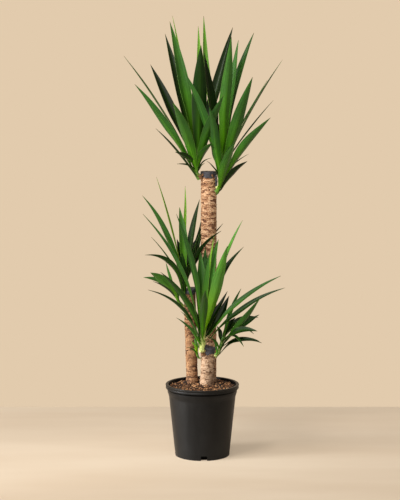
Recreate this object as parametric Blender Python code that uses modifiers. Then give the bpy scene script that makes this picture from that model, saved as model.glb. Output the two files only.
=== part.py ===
"""A potted yucca: three bark-covered canes of unequal height in a black nursery pot.

Each cane was sawn off, its cut end sealed with dark wax, and grew shoots from its side just
under the seal. Every shoot is a short stem with a rosette of sword-shaped leaves.

Units are metres, +Z is up. The origin is the middle of the pot's underside, on the floor.
+X is to the right and -Y towards whoever looks at the front of the plant.
"""

import math
import random
from typing import NamedTuple

import bmesh
import bpy
from mathutils import Vector

# ---------------------------------------------------------------- driving dimensions
CM = 0.01
MM = 0.001
GAP = 0.3 * MM  # clearance between pieces that touch

POT_HEIGHT = 27.0 * CM
POT_RIM_RADIUS = 13.5 * CM  # outside of the rolled lip
POT_NECK_RADIUS = 12.2 * CM  # outside of the wall just under the collar
POT_BASE_RADIUS = 10.05 * CM
POT_WALL = 2.2 * MM
LIP_WIDTH = 8.5 * MM
LIP_HEIGHT = 16.0 * MM
LIP_ROUND = 4.0 * MM  # radius of the lip's rounded edges
LIP_CORNER = 1.5 * MM  # small chamfer under the lip
COLLAR_RADIUS = 12.8 * CM  # the thicker band under the lip
COLLAR_HEIGHT = 16.0 * MM
COLLAR_CHAMFER = 15.0 * MM  # height over which the collar narrows to the wall
COLLAR_TAPER = 1.0 * MM
FOOT_HEIGHT = 11.0 * MM  # slightly proud band round the bottom
FOOT_ROUND = 2.5 * MM
FOOT_PROUD = 0.8 * MM
FOOT_CORNER = 1.0 * MM
FLOOR_DISC_RADIUS = 8.6 * CM  # middle of the floor, which stands on the ground
FLOOR_SLOPE = 5.0 * MM
FLOOR_STEP = 16.0 * MM  # how far the floor is raised outside that disc
POT_STEPS = 56
NOTCH_COUNT = 4
NOTCH_WIDTH = 23.0 * MM
NOTCH_HEIGHT = 15.0 * MM
NOTCH_DEPTH = 16.0 * MM  # of its cutter, across the wall
NOTCH_START = math.radians(-86.5)

SOIL_EDGE_Z = 26.1 * CM
SOIL_MOUND = 4.0 * MM  # rise of the soil's middle over its edge
MOUND_RADII = (6.5 * CM, 8.5 * CM, 10.5 * CM)  # where the mound is full, sloping and nearly flat
MOUND_RISES = (1.0, 0.6, 0.2)  # its rise there, as a part of SOIL_MOUND

CANE_FOOT_Z = 7.0 * CM  # where the buried ends of the canes stop
CANE_STEPS = 16
WOOD_RATIO = 0.97  # radius where the bark is covered, in the soil and under the wax
BARE_FOOT = 3.0 * MM  # height of the plain wood over the soil
RING_SPACING = 22.0 * MM  # between the rows of leaf scars on a cane
FIRST_RING = 6.0 * MM  # from the wax down to the first of them
LAST_RING = 10.0 * MM  # from the soil up to the last of them
RING_RIPPLE = 0.025  # how far the rows stand out and in, over the cane's radius
RING_VARIETY = 0.015
WAX_THICKNESS = 1.6 * MM
WAX_DOME = 1.0 * MM  # rise of the wax's middle
WAX_SHOULDER = 2.0 * MM  # width of its rounded upper edge
WAX_EDGE = 0.8 * MM  # chamfer round its lower edge

SHOOT_SIDES = 2  # bevel resolution of the round stems
SHOOT_POINTS = 9
LEAF_POINTS = 9
LEAF_SECTION = ((-1.0, 0.20), (0.0, -0.10), (1.0, 0.20), (0.0, 0.02))  # over its half width
LEAF_FOOT_WIDTH = 14.0  # in mm
LEAF_TIP_RATIO = 0.07
LEAF_WIDEST = 0.50  # where along the leaf it is widest
LEAF_TAPER = 1.7  # power of the narrowing from there to the tip
LEAF_SEAT = 1.0 * MM  # from the stem's surface to the middle of the leaf's foot
CROWN_OFFSET = 0.6  # the innermost leaves stand on the stem's end, this far out over its radius
CROWN_LIFT = 1.1 * MM  # from the stem's end to the middle of such a leaf's foot
WELD_DISTANCE = 0.01 * MM


class Cane(NamedTuple):
    """A cane: where it leaves the soil, its radius, the top of its wood, the depth of its
    wax and its lean in degrees."""

    x: float
    y: float
    radius: float
    top: float
    wax: float
    lean: float


class Shoot(NamedTuple):
    """A stem: the points of its middle line in cm, and its radius at the first and the last in mm."""

    cane: str
    path: tuple
    radii: tuple


class Leaf(NamedTuple):
    """A leaf: its shoot, how far up the stem it sits (0 to 1), its tip in cm, its width in mm,
    how far its middle bows up from a straight line in cm, and its twist in degrees."""

    shoot: str
    seat: float
    tip: tuple
    width: float
    bow: float
    twist: float


CANES = {
    "tall": Cane(2.4 * CM, 6.9 * CM, 3.0 * CM, 105.7 * CM, 2.4 * CM, 0.0),
    "medium": Cane(-3.8 * CM, 4.6 * CM, 2.3 * CM, 62.3 * CM, 2.4 * CM, -1.6),
    "short": Cane(1.7 * CM, 1.0 * CM, 2.65 * CM, 40.8 * CM, 2.8 * CM, 2.5),
}

SHOOTS = {
    "tall_left": Shoot(
        "tall",
        ((0.2, 5.2, 102.0), (-1.6, 4.6, 103.8), (-2.2, 4.6, 106.5), (-1.4, 4.8, 113.0)),
        (11, 7),
    ),
    "tall_right": Shoot(
        "tall",
        ((4.4, 5.0, 97.8), (6.0, 3.8, 99.2), (6.8, 3.6, 103.0), (7.4, 4.0, 112.0)),
        (12, 7),
    ),
    "medium_top": Shoot(
        "medium",
        ((-5.6, 3.2, 58.0), (-6.8, 2.4, 59.5), (-6.9, 2.4, 62.0), (-6.3, 2.8, 68.5)),
        (10, 6),
    ),
    "medium_left": Shoot(
        "medium",
        ((-6.6, 3.8, 55.5), (-8.2, 3.0, 56.5), (-9.0, 2.6, 58.0), (-10.4, 2.0, 61.0)),
        (8, 5),
    ),
    "short_left": Shoot(
        "short",
        ((0.6, -0.8, 37.6), (-0.2, -2.0, 38.8), (-0.1, -2.2, 41.0), (0.4, -1.9, 48.0)),
        (13, 9),
    ),
    "short_right": Shoot(
        "short",
        ((3.9, 0.0, 37.0), (5.2, -0.9, 37.8), (6.2, -1.2, 39.5), (7.8, -1.4, 45.0)),
        (10, 6),
    ),
    "short_low": Shoot(
        "short",
        ((-0.4, 0.2, 35.8), (-1.3, -0.2, 36.6), (-1.8, -0.4, 38.0), (-2.0, -0.4, 40.0)),
        (6, 4),
    ),
}

# Leaves, from the top of the plant down. The tip is given from the middle of the pot's underside.
LEAVES = (
    Leaf("tall_left", 0.90, (-12.0, 7, 161), 50, 0.7, -40),
    Leaf("tall_left", 0.87, (-14.0, 18, 157), 38, 1.0, -20),
    Leaf("tall_left", 0.72, (-29.0, 6, 148.5), 30, 1.0, 0),
    Leaf("tall_left", 0.57, (-24.5, -4, 138), 34, 2.1, 42),
    Leaf("tall_left", 0.53, (-19.5, 10.5, 130), 28, 1.4, 22),
    Leaf("tall_left", 0.82, (-19.5, 16, 145.5), 40, 1.0, -30),
    Leaf("tall_left", 0.68, (-10.5, -15, 131.5), 37, 1.2, 0),
    Leaf("tall_left", 0.50, (-17.0, -3, 122), 22, 0.5, 0),
    Leaf("tall_left", 0.70, (7.5, -14, 134), 38, 1.5, -10),
    Leaf("tall_left", 1.00, (-1.5, 21, 160), 38, 0.0, 0),
    Leaf("tall_left", 1.00, (-0.5, -4, 152), 50, 0.3, 0),
    Leaf("tall_left", 0.88, (11.5, 20, 159.5), 42, 1.0, 20),
    Leaf("tall_right", 1.00, (10.5, -2, 155), 44, 0.3, -10),
    Leaf("tall_right", 0.96, (13.5, 14, 154.5), 34, 0.5, 0),
    Leaf("tall_right", 0.90, (19.5, 19, 157.5), 40, 1.0, 0),
    Leaf("tall_right", 0.78, (18.0, -8, 140.5), 40, 1.0, -20),
    Leaf("tall_right", 0.84, (29.5, 5, 147), 28, 1.0, 0),
    Leaf("tall_right", 0.60, (24.5, -8, 126), 38, 1.5, -30),
    Leaf("tall_right", 0.80, (-6.5, -4, 142.5), 37, 1.1, 22),
    Leaf("tall_right", 0.70, (2.5, -11, 130), 34, 1.0, 0),
    Leaf("tall_right", 0.38, (16.5, -1, 110), 28, 1.0, -35),
    Leaf("tall_right", 0.46, (11.5, -12, 117), 36, 1.0, 0),
    Leaf("tall_right", 1.00, (0.5, 16, 163.5), 38, -0.3, 0),
    Leaf("tall_right", 0.86, (0.5, 3, 150), 44, -0.3, -40),
    Leaf("medium_top", 0.75, (-22.0, -2, 97.5), 32, 2.5, 40),
    Leaf("medium_top", 0.92, (-17.0, 3, 104), 28, 0.3, -10),
    Leaf("medium_top", 0.60, (-21.0, -6, 76), 28, 4.5, 30),
    Leaf("medium_top", 1.00, (-8.5, 7, 92.5), 30, 0.3, 0),
    Leaf("medium_top", 0.85, (-1.0, 12, 95), 28, 1.0, 0),
    Leaf("medium_top", 0.70, (7.0, -2, 84.5), 28, 2.3, -35),
    Leaf("medium_left", 0.80, (-19.0, -6, 69.5), 36, 1.0, 45),
    Leaf("medium_left", 0.95, (-22.0, 3, 66.5), 30, 1.5, -25),
    Leaf("short_left", 0.94, (-9.5, -5, 91), 32, 2.0, 45),
    Leaf("short_left", 0.92, (9.0, -12.5, 80), 42, 2.5, -20),
    Leaf("short_left", 0.97, (6.0, 1, 81), 38, 1.5, 45),
    Leaf("short_left", 0.80, (1.0, -28, 66), 34, 2.5, 0),
    Leaf("short_left", 0.86, (-15.0, -16, 71), 35, 2.0, 35),
    Leaf("short_left", 0.68, (-20.0, -5, 63), 30, 4.1, 36),
    Leaf("short_left", 0.78, (28.5, -11, 69), 35, 3.1, 43),
    Leaf("short_left", 0.72, (30.5, -3, 63.5), 32, 2.8, 35),
    Leaf("short_left", 0.88, (-22.0, 1, 90.5), 34, 4.5, 40),
    Leaf("short_right", 0.80, (21.0, -10, 60.5), 32, 1.0, -25),
    Leaf("short_right", 1.00, (14.5, 2.5, 62.5), 28, 0.3, 0),
    Leaf("short_right", 0.75, (20.0, -13, 49), 32, 3.0, 50),
    Leaf("short_right", 0.60, (22.0, -4, 43), 26, 3.0, 30),
)

COLOURS = {
    "pot": ((0.045, 0.046, 0.050, 1.0), 0.5),
    "soil": ((0.16, 0.085, 0.040, 1.0), 0.95),
    "bark": ((0.42, 0.25, 0.14, 1.0), 0.9),
    "wax": ((0.045, 0.045, 0.055, 1.0), 0.7),
    "stem": ((0.36, 0.42, 0.10, 1.0), 0.6),
    "leaf": ((0.07, 0.19, 0.035, 1.0), 0.4),
}


# ---------------------------------------------------------------- scene and materials
def clear_scene():
    for obj in list(bpy.data.objects):
        bpy.data.objects.remove(obj, do_unlink=True)


def make_collection(name):
    collection = bpy.data.collections.new(name)
    bpy.context.scene.collection.children.link(collection)
    return collection


def make_material(name):
    colour, roughness = COLOURS[name]
    material = bpy.data.materials.new(name)
    material.use_nodes = True
    shader = material.node_tree.nodes["Principled BSDF"]
    shader.inputs["Base Color"].default_value = colour
    shader.inputs["Roughness"].default_value = roughness
    shader.inputs["Metallic"].default_value = 0.0
    return material


def add_object(name, data, collection, material=None):
    obj = bpy.data.objects.new(name, data)
    collection.objects.link(obj)
    if material is not None:
        data.materials.append(material)
    return obj


def as_guide(obj):
    obj.hide_render = True
    obj.display_type = "WIRE"


# ---------------------------------------------------------------- turned shapes
def turned(name, profile, steps, collection, material=None):
    """A solid turned from (radius, height) points that run down its outer side."""
    mesh = bpy.data.meshes.new(name)
    bm = bmesh.new()
    rim = [bm.verts.new((radius, 0.0, height)) for radius, height in profile]
    for upper, lower in zip(rim, rim[1:]):
        bm.edges.new((upper, lower))
    bm.to_mesh(mesh)
    bm.free()
    obj = add_object(name, mesh, collection, material)
    screw = obj.modifiers.new("Turn", "SCREW")
    screw.axis = "Z"
    screw.steps = steps
    screw.render_steps = steps
    screw.use_merge_vertices = True
    screw.merge_threshold = 0.0001
    screw.use_smooth_shade = True
    return obj


def cut(obj, cutter, name):
    boolean = obj.modifiers.new(name, "BOOLEAN")
    boolean.operation = "DIFFERENCE"
    boolean.solver = "EXACT"
    boolean.object = cutter


def arc(middle, radius, start, end, count):
    """Points of an arc in the profile's plane, with its angles in degrees."""
    points = []
    for step in range(count):
        angle = math.radians(start + (end - start) * step / (count - 1))
        points.append((middle[0] + radius * math.cos(angle), middle[1] + radius * math.sin(angle)))
    return points


# ---------------------------------------------------------------- pot
COLLAR_TOP = POT_HEIGHT - LIP_HEIGHT
COLLAR_BOTTOM = COLLAR_TOP - COLLAR_HEIGHT
NECK_Z = COLLAR_BOTTOM - COLLAR_CHAMFER


def pot_outside(height):
    """Radius of the tapered wall's outside at a height."""
    return POT_BASE_RADIUS + (POT_NECK_RADIUS - POT_BASE_RADIUS) * height / NECK_Z


def pot_inside(height):
    return pot_outside(height) - POT_WALL


def pot_profile():
    floor_top = POT_WALL
    raised_top = FLOOR_STEP + POT_WALL
    lip_inside = POT_RIM_RADIUS - LIP_WIDTH
    lip_round = (POT_RIM_RADIUS - LIP_ROUND, POT_HEIGHT - LIP_ROUND)
    inner_round = (lip_inside + LIP_ROUND / 2, POT_HEIGHT - LIP_ROUND / 2)
    foot_radius = POT_BASE_RADIUS + FOOT_PROUD
    foot_round = (foot_radius - FOOT_ROUND, FOOT_ROUND)
    inside = [
        (0.0, floor_top),
        (FLOOR_DISC_RADIUS - POT_WALL, floor_top),
        (FLOOR_DISC_RADIUS + FLOOR_SLOPE - POT_WALL, raised_top),
        (pot_inside(raised_top), raised_top),
        (pot_inside(NECK_Z), NECK_Z),
        (lip_inside, COLLAR_TOP),
    ]
    lip = arc(inner_round, LIP_ROUND / 2, 180, 90, 3) + arc(lip_round, LIP_ROUND, 90, 0, 5)
    outside = [
        (POT_RIM_RADIUS, COLLAR_TOP + LIP_CORNER),
        (POT_RIM_RADIUS - LIP_CORNER, COLLAR_TOP),
        (COLLAR_RADIUS, COLLAR_TOP),
        (COLLAR_RADIUS - COLLAR_TAPER, COLLAR_BOTTOM),
        (POT_NECK_RADIUS, NECK_Z),
        (pot_outside(FOOT_HEIGHT), FOOT_HEIGHT),
        (foot_radius, FOOT_HEIGHT - FOOT_CORNER),
    ]
    foot = arc(foot_round, FOOT_ROUND, 0, -90, 3)
    under = [
        (pot_inside(0.0), 0.0),
        (pot_inside(FLOOR_STEP), FLOOR_STEP),
        (FLOOR_DISC_RADIUS + FLOOR_SLOPE, FLOOR_STEP),
        (FLOOR_DISC_RADIUS, 0.0),
        (0.0, 0.0),
    ]
    return inside + lip + outside + foot + under


def make_pot(parts, cutters):
    pot = turned("pot", pot_profile(), POT_STEPS, parts, make_material("pot"))
    mesh = bpy.data.meshes.new("notch")
    bm = bmesh.new()
    bmesh.ops.create_cube(bm, size=1.0)
    bmesh.ops.scale(bm, vec=(NOTCH_DEPTH, NOTCH_WIDTH, 2 * NOTCH_HEIGHT), verts=bm.verts)
    bm.to_mesh(mesh)
    bm.free()
    for number in range(NOTCH_COUNT):
        angle = NOTCH_START + 2 * math.pi * number / NOTCH_COUNT
        notch = add_object(f"notch_{number + 1}", mesh, cutters)
        notch.location = (POT_BASE_RADIUS * math.cos(angle), POT_BASE_RADIUS * math.sin(angle), 0.0)
        notch.rotation_euler = (0.0, 0.0, angle)
        as_guide(notch)
        cut(pot, notch, notch.name)
    return pot


# ---------------------------------------------------------------- canes, wax and soil
PIVOT_Z = SOIL_EDGE_Z + SOIL_MOUND  # a cane leans about the point where it leaves the soil


def place_cane_piece(obj, cane):
    obj.location = (cane.x, cane.y, PIVOT_Z)
    obj.rotation_euler = (0.0, math.radians(cane.lean), 0.0)


def cane_outline(cane, extra, waxed):
    """Outer points of a cane, top to bottom, made wider by extra and, if waxed, by its wax."""
    wood = cane.radius * WOOD_RATIO + extra
    top = cane.top - PIVOT_Z
    wax_bottom = top - cane.wax
    over_wax = WAX_THICKNESS + GAP if waxed else 0.0
    points = [(wood + over_wax, top + extra + over_wax), (wood + over_wax, wax_bottom - extra)]
    rows = int((wax_bottom - LAST_RING) / RING_SPACING)
    swell = random.Random(round(cane.top * 1000))
    for row in range(rows):
        height = wax_bottom - FIRST_RING - row * RING_SPACING
        ripple = 1.0 + RING_RIPPLE * (-1) ** row + swell.uniform(-RING_VARIETY, RING_VARIETY)
        points.append((cane.radius * ripple + extra, height))
    points.append((wood, BARE_FOOT))
    points.append((wood, CANE_FOOT_Z - PIVOT_Z - extra))
    return points


def cane_profile(cane, extra=0.0, waxed=False):
    outline = cane_outline(cane, extra, waxed)
    return [(0.0, outline[0][1])] + outline + [(0.0, outline[-1][1])]


def wax_profile(cane):
    inner = cane.radius * WOOD_RATIO + GAP
    outer = inner + WAX_THICKNESS
    ceiling = cane.top - PIVOT_Z + GAP
    top = ceiling + WAX_THICKNESS
    bottom = cane.top - PIVOT_Z - cane.wax + GAP
    return [
        (0.0, top + WAX_DOME),
        (0.6 * outer, top + 0.6 * WAX_DOME),
        (outer - WAX_SHOULDER, top - 0.4 * WAX_DOME),
        (outer, top - 1.5 * WAX_SHOULDER),
        (outer, bottom + WAX_EDGE),
        (outer - WAX_EDGE, bottom),
        (inner, bottom),
        (inner, ceiling),
        (0.0, ceiling),
    ]


def soil_profile():
    raised = FLOOR_STEP + POT_WALL + GAP
    floor = POT_WALL + GAP
    disc = FLOOR_DISC_RADIUS - POT_WALL - GAP
    edge = POT_RIM_RADIUS - LIP_WIDTH - GAP
    mound = [
        (radius, SOIL_EDGE_Z + rise * SOIL_MOUND) for radius, rise in zip(MOUND_RADII, MOUND_RISES)
    ]
    return [(0.0, SOIL_EDGE_Z + SOIL_MOUND)] + mound + [
        (edge, SOIL_EDGE_Z),
        (edge, COLLAR_TOP),
        (pot_inside(NECK_Z) - GAP, NECK_Z),
        (pot_inside(raised) - GAP, raised),
        (disc + FLOOR_SLOPE, raised),
        (disc, floor),
        (0.0, floor),
    ]


def make_canes(parts, cutters):
    """Returns each cane's cutter, which is the cane and its wax made wider by the gap."""
    bark = make_material("bark")
    wax = make_material("wax")
    found = {}
    for name, cane in CANES.items():
        pieces = [
            turned(f"cane_{name}", cane_profile(cane), CANE_STEPS, parts, bark),
            turned(f"wax_cap_{name}", wax_profile(cane), CANE_STEPS, parts, wax),
            turned(f"cane_cutter_{name}", cane_profile(cane, GAP, True), CANE_STEPS, cutters),
        ]
        for piece in pieces:
            place_cane_piece(piece, cane)
        as_guide(pieces[-1])
        found[name] = pieces[-1]
    return found


def make_soil(parts, cane_cutters):
    soil = turned("potting_soil", soil_profile(), POT_STEPS, parts, make_material("soil"))
    for name, cutter in cane_cutters.items():
        cut(soil, cutter, f"hole_{name}")
    return soil


# ---------------------------------------------------------------- stems and leaves
def smooth_path(points, count):
    """Points of a smooth curve through the given ones."""
    knots = [Vector(point) for point in points]
    knots = [2 * knots[0] - knots[1]] + knots + [2 * knots[-1] - knots[-2]]
    spans = len(points) - 1
    found = []
    for step in range(count):
        place = spans * step / (count - 1)
        span = min(int(place), spans - 1)
        t = place - span
        a, b, c, d = knots[span : span + 4]
        curved = (2 * a - 5 * b + 4 * c - d) * t**2 + (3 * b - a - 3 * c + d) * t**3
        found.append(0.5 * (2 * b + (c - a) * t + curved))
    return found


def swept(name, points, radii, tilts, collection):
    """A curve object along the points, with a radius and a tilt at each."""
    data = bpy.data.curves.new(name, "CURVE")
    data.dimensions = "3D"
    data.twist_mode = "MINIMUM"
    data.use_fill_caps = True
    spline = data.splines.new("POLY")
    spline.points.add(len(points) - 1)
    for knot, point, radius, tilt in zip(spline.points, points, radii, tilts):
        knot.co = (*point, 1.0)
        knot.radius = radius
        knot.tilt = tilt
    return add_object(name, data, collection)


def as_mesh(obj, collection, material):
    """Replaces a curve object with a closed mesh object of the same name."""
    depsgraph = bpy.context.evaluated_depsgraph_get()
    mesh = bpy.data.meshes.new_from_object(obj.evaluated_get(depsgraph))
    name = obj.name
    matrix = obj.matrix_world.copy()
    curve = obj.data
    bpy.data.objects.remove(obj, do_unlink=True)
    bpy.data.curves.remove(curve)
    bm = bmesh.new()
    bm.from_mesh(mesh)
    bmesh.ops.remove_doubles(bm, verts=bm.verts, dist=WELD_DISTANCE)
    bmesh.ops.recalc_face_normals(bm, faces=bm.faces)
    # the short diagonals run alike on both sides of a thin twisted piece, so its sides stay apart
    bmesh.ops.triangulate(bm, faces=bm.faces, quad_method="SHORT_EDGE")
    bm.to_mesh(mesh)
    bm.free()
    mesh.materials.clear()
    made = add_object(name, mesh, collection, material)
    made.matrix_world = matrix
    return made


def stem_line(shoot):
    return [point * CM for point in smooth_path(shoot.path, SHOOT_POINTS)]


def stem_radius(shoot, place):
    first, last = shoot.radii
    return (first + (last - first) * place) * MM


def make_stem(name, parts, cane_cutters, material):
    shoot = SHOOTS[name]
    line = stem_line(shoot)
    radii = [stem_radius(shoot, step / (len(line) - 1)) / MM for step in range(len(line))]
    stem = swept(f"shoot_{name}", line, radii, [0.0] * len(line), parts)
    stem.data.bevel_depth = MM
    stem.data.bevel_resolution = SHOOT_SIDES
    stem = as_mesh(stem, parts, material)
    cut(stem, cane_cutters[shoot.cane], "seat")
    return stem


def leaf_section(cutters):
    """The leaf's cross-section, a shallow V of half-width 1 that is thickest in the middle."""
    data = bpy.data.curves.new("leaf_section", "CURVE")
    data.dimensions = "2D"
    spline = data.splines.new("POLY")
    spline.points.add(len(LEAF_SECTION) - 1)
    for knot, corner in zip(spline.points, LEAF_SECTION):
        knot.co = (*corner, 0.0, 1.0)
    spline.use_cyclic_u = True
    section = add_object("leaf_section", data, cutters)
    as_guide(section)
    return section


def leaf_width(widest, place):
    """Width along the leaf in mm: a narrow foot, a long swelling and a needle tip."""
    if place < LEAF_WIDEST:
        rise = math.sin(0.5 * math.pi * place / LEAF_WIDEST)
        return LEAF_FOOT_WIDTH + (widest - LEAF_FOOT_WIDTH) * rise
    fall = (place - LEAF_WIDEST) / (1.0 - LEAF_WIDEST)
    return widest * max(LEAF_TIP_RATIO, 1.0 - fall**LEAF_TAPER)


def leaf_line(leaf):
    """Points along a leaf from its foot, on the stem's surface, to its tip."""
    shoot = SHOOTS[leaf.shoot]
    stem = stem_line(shoot)
    place = leaf.seat * (len(stem) - 1)
    span = min(int(place), len(stem) - 2)
    middle = stem[span].lerp(stem[span + 1], place - span)
    along = (stem[span + 1] - stem[span]).normalized()
    tip = Vector(leaf.tip) * CM
    outward = tip - middle
    outward = (outward - outward.dot(along) * along).normalized()
    if leaf.seat < 1.0:
        foot = middle + outward * (stem_radius(shoot, leaf.seat) + LEAF_SEAT)
    else:
        foot = stem[-1] + outward * CROWN_OFFSET * stem_radius(shoot, 1.0) + along * CROWN_LIFT
    chord = tip - foot
    side = Vector((0.0, 0.0, 1.0)).cross(chord).normalized()
    upward = chord.cross(side).normalized()
    control = 0.5 * (foot + tip) + 2.0 * leaf.bow * CM * upward
    points = []
    for step in range(LEAF_POINTS):
        t = step / (LEAF_POINTS - 1)
        points.append((1 - t) ** 2 * foot + 2 * t * (1 - t) * control + t**2 * tip)
    return points


def make_leaf(leaf, number, parts, section, material):
    points = leaf_line(leaf)
    places = [step / (LEAF_POINTS - 1) for step in range(LEAF_POINTS)]
    radii = [0.5 * MM * leaf_width(leaf.width, place) for place in places]
    tilts = [math.radians(leaf.twist) * min(1.0, 2.0 * place) for place in places]
    blade = swept(f"leaf_{leaf.shoot}_{number:02d}", points, radii, tilts, parts)
    blade.data.bevel_mode = "OBJECT"
    blade.data.bevel_object = section
    return as_mesh(blade, parts, material)


def make_foliage(parts, cutters, cane_cutters):
    stem_material = make_material("stem")
    leaf_material = make_material("leaf")
    for name in SHOOTS:
        make_stem(name, parts, cane_cutters, stem_material)
    section = leaf_section(cutters)
    counts = dict.fromkeys(SHOOTS, 0)
    for leaf in LEAVES:
        counts[leaf.shoot] += 1
        make_leaf(leaf, counts[leaf.shoot], parts, section, leaf_material)


def main():
    clear_scene()
    parts = make_collection("potted_yucca")
    cutters = make_collection("cutters")
    make_pot(parts, cutters)
    cane_cutters = make_canes(parts, cutters)
    make_soil(parts, cane_cutters)
    make_foliage(parts, cutters, cane_cutters)


main()
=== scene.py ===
"""Looks of a potted yucca: three bark-covered canes in a black nursery pot, each with its cut end
sealed with dark wax, and with shoots that carry rosettes of sword-shaped leaves.
"""

import random
from itertools import combinations
from math import atan2, cos, dist, exp, floor, hypot, pi, radians, sin, sqrt

import bmesh
import bpy
import numpy as np
from mathutils import Euler, Matrix, Vector, noise


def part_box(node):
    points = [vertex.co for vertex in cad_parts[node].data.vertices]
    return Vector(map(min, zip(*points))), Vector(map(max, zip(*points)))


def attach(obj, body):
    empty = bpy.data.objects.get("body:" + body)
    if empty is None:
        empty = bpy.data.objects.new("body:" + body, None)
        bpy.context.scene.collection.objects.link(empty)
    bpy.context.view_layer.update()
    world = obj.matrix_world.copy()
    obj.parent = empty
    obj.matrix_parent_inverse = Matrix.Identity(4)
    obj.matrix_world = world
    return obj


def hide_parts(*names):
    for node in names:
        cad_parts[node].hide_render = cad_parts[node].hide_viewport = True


CM = 0.01
MM = 0.001
TURN = 2 * pi
UP = np.array((0, 0, 1))
LEVEL = np.array((1, 1, 0))

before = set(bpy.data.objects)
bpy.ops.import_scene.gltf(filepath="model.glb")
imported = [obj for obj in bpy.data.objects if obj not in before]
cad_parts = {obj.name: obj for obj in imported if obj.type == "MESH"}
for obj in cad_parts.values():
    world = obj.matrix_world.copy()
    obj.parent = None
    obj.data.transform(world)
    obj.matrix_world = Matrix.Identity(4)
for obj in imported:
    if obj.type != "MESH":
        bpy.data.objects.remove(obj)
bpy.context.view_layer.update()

POT_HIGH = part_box("pot")[1]
SOIL_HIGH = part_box("potting_soil")[1]
SHOOTS = sorted(n.removeprefix("shoot_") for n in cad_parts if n.startswith("shoot_"))
LEAVES = sorted(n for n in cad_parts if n.startswith("leaf_"))

# ---- measures of the pot
RIM_RADIUS = POT_HIGH.x + 2.4 * MM
LIP_WIDTH = 10.9 * MM
LIP_HEIGHT = 16 * MM
# how far below the pot's top the painted shadow under the lip lies
LIP_SHADOW_DEPTH = 18.6 * MM
COLLAR_RADIUS = 13.05 * CM
COLLAR_HEIGHT = 16 * MM
NECK_RADIUS = 12.45 * CM
NECK_HEIGHT = POT_HIGH.z - 47 * MM
BASE_RADIUS = 10.15 * CM
FOOT_HEIGHT = 11 * MM
FOOT_ROUNDING = 1.6 * MM
WALL = 2.2 * MM
FLOOR_DISC = 8.6 * CM
FLOOR_STEP = 18.5 * MM
FLOOR_SLOPE = 5 * MM
NOTCH_COUNT = 4
NOTCH_WIDTH = 23 * MM
NOTCH_HEIGHT = 17.5 * MM
NOTCH_DEPTH = 16 * MM
NOTCH_START = radians(-86.5)
POT_SIDES = 128

# ---- measures of the soil, bark and wax
SOIL_GAP = 0.3 * MM
SOIL_RINGS = 46
SOIL_SIDES = 200
CHIP_COUNT = 860
CHIP_SHAPES = ((1, 0.42, 0.22), (1, 0.66, 0.24), (1, 0.52, 0.42))
SCAR_SPACING = 5.8 * MM
SCAR_DEPTH = 2.5 * MM
FLAKE_WIDTH = 15 * MM
BARK_ROW = 1.5 * MM
BURIED_ROWS = 12
BURIED_DEPTH = 22 * MM
WAX_ROWS = 26
WAX_SIDES = 88
WAX_OVER_BARK = 1.3 * MM
WAX_THICKNESS = 3 * MM
# each cane's bark material and its colours from crack to flake edge: the darkest stands partly for
# painted shade in the cracks, the lightest partly for a painted highlight on raised edges
BARKS = {
    "tall": ("pinkish_bark", (78, 46, 29), (136, 92, 62), (184, 138, 100), (222, 184, 146)),
    "medium": ("orange_bark", (50, 31, 17), (98, 64, 38), (138, 97, 63), (180, 138, 98)),
    "short": ("grey_bark", (90, 63, 44), (136, 104, 77), (170, 137, 107), (194, 165, 137)),
}

# lumps of old bark where shoots grow out, and near-black lumps in the wax's material down the
# right
# of the tall cane by its right shoot: each one's place and three radii, in cm
BARK_KNOBS = (
    ((-0.9, 4.9, 103.7), (1, 0.9, 0.85)),
    ((0, 4.5, 104.5), (0.5, 0.5, 0.6)),
    ((3.7, 4.2, 104.5), (0.45, 0.4, 0.5)),
    ((4.3, 4.7, 103.2), (0.4, 0.4, 0.6)),
    ((5.3, 5, 98.6), (0.6, 0.6, 0.7)),
    ((0.3, -1.2, 38.4), (0.9, 0.7, 0.6)),
    ((4, 0.2, 38), (0.5, 0.6, 0.6)),
)
DARK_LUMPS = (
    ((4.9, 5.3, 103.9), (0.6, 0.7, 1)),
    ((5.2, 5.2, 102.2), (0.45, 0.6, 1.3)),
    ((5.2, 5, 100.6), (0.35, 0.5, 1.1)),
)

# ---- the shoots' stems
STEM_SLIMNESS = 0.82
STEM_SIDES = 32
STEM_ROWS = 56
LEAF_FOOT_SPACING = 4.5 * MM

# where each stem starts inside its cane, in cm
SHOOT_ROOTS = {
    "tall_left": (-1, 5.9, 104.5),
    "tall_right": (5.3, 5, 99.9),
    "medium_top": (-5.6, 3.2, 58),
    "medium_left": (-6.6, 3.8, 55.5),
    "short_left": (0.5, -1, 39.6),
    "short_right": (4.5, -0.3, 37.5),
    "short_low": (-0.6, 0.1, 36.4),
}

# how far a stem swells at its start, over its radius; the others shrink by a quarter
SWELLINGS = {"short_low": -0.45, "short_left": 0.05, "tall_left": -0.05, "tall_right": 0}

# how soon a stem turns from pale to green
GREENING = {"short_left": 1, "short_right": 1.8, "short_low": 3}

# ---- the leaves
LEAF_ROWS = 38
LEAF_COLUMNS = 8
LEAF_THICKNESS = 1.9 * MM
TIP_HALF_WIDTH = 0.35 * MM

# how far the blade rises from its midrib to its edge, over its half width
BLADE_FOLD = ((1, 0.3), (0.75, 0.225), (0.5, 0.14), (0.25, 0.055))

# where a leaf's foot clasps its stem: how far below the blade, and how wide over its radius
WIDE_CLASP = ((20 * MM, 1), (9 * MM, 0.85))
NARROW_CLASP = ((7 * MM, 0.7),)

# how pale the feet of a shoot's leaves are, and how narrow over their CAD nodes
PALENESS = {"short_left": 0.95, "short_low": 0.2, "short_right": 0.3}
WAISTS = {"short_left": 0.55, "medium_top": 0.75, "short_right": 0.8}

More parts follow.
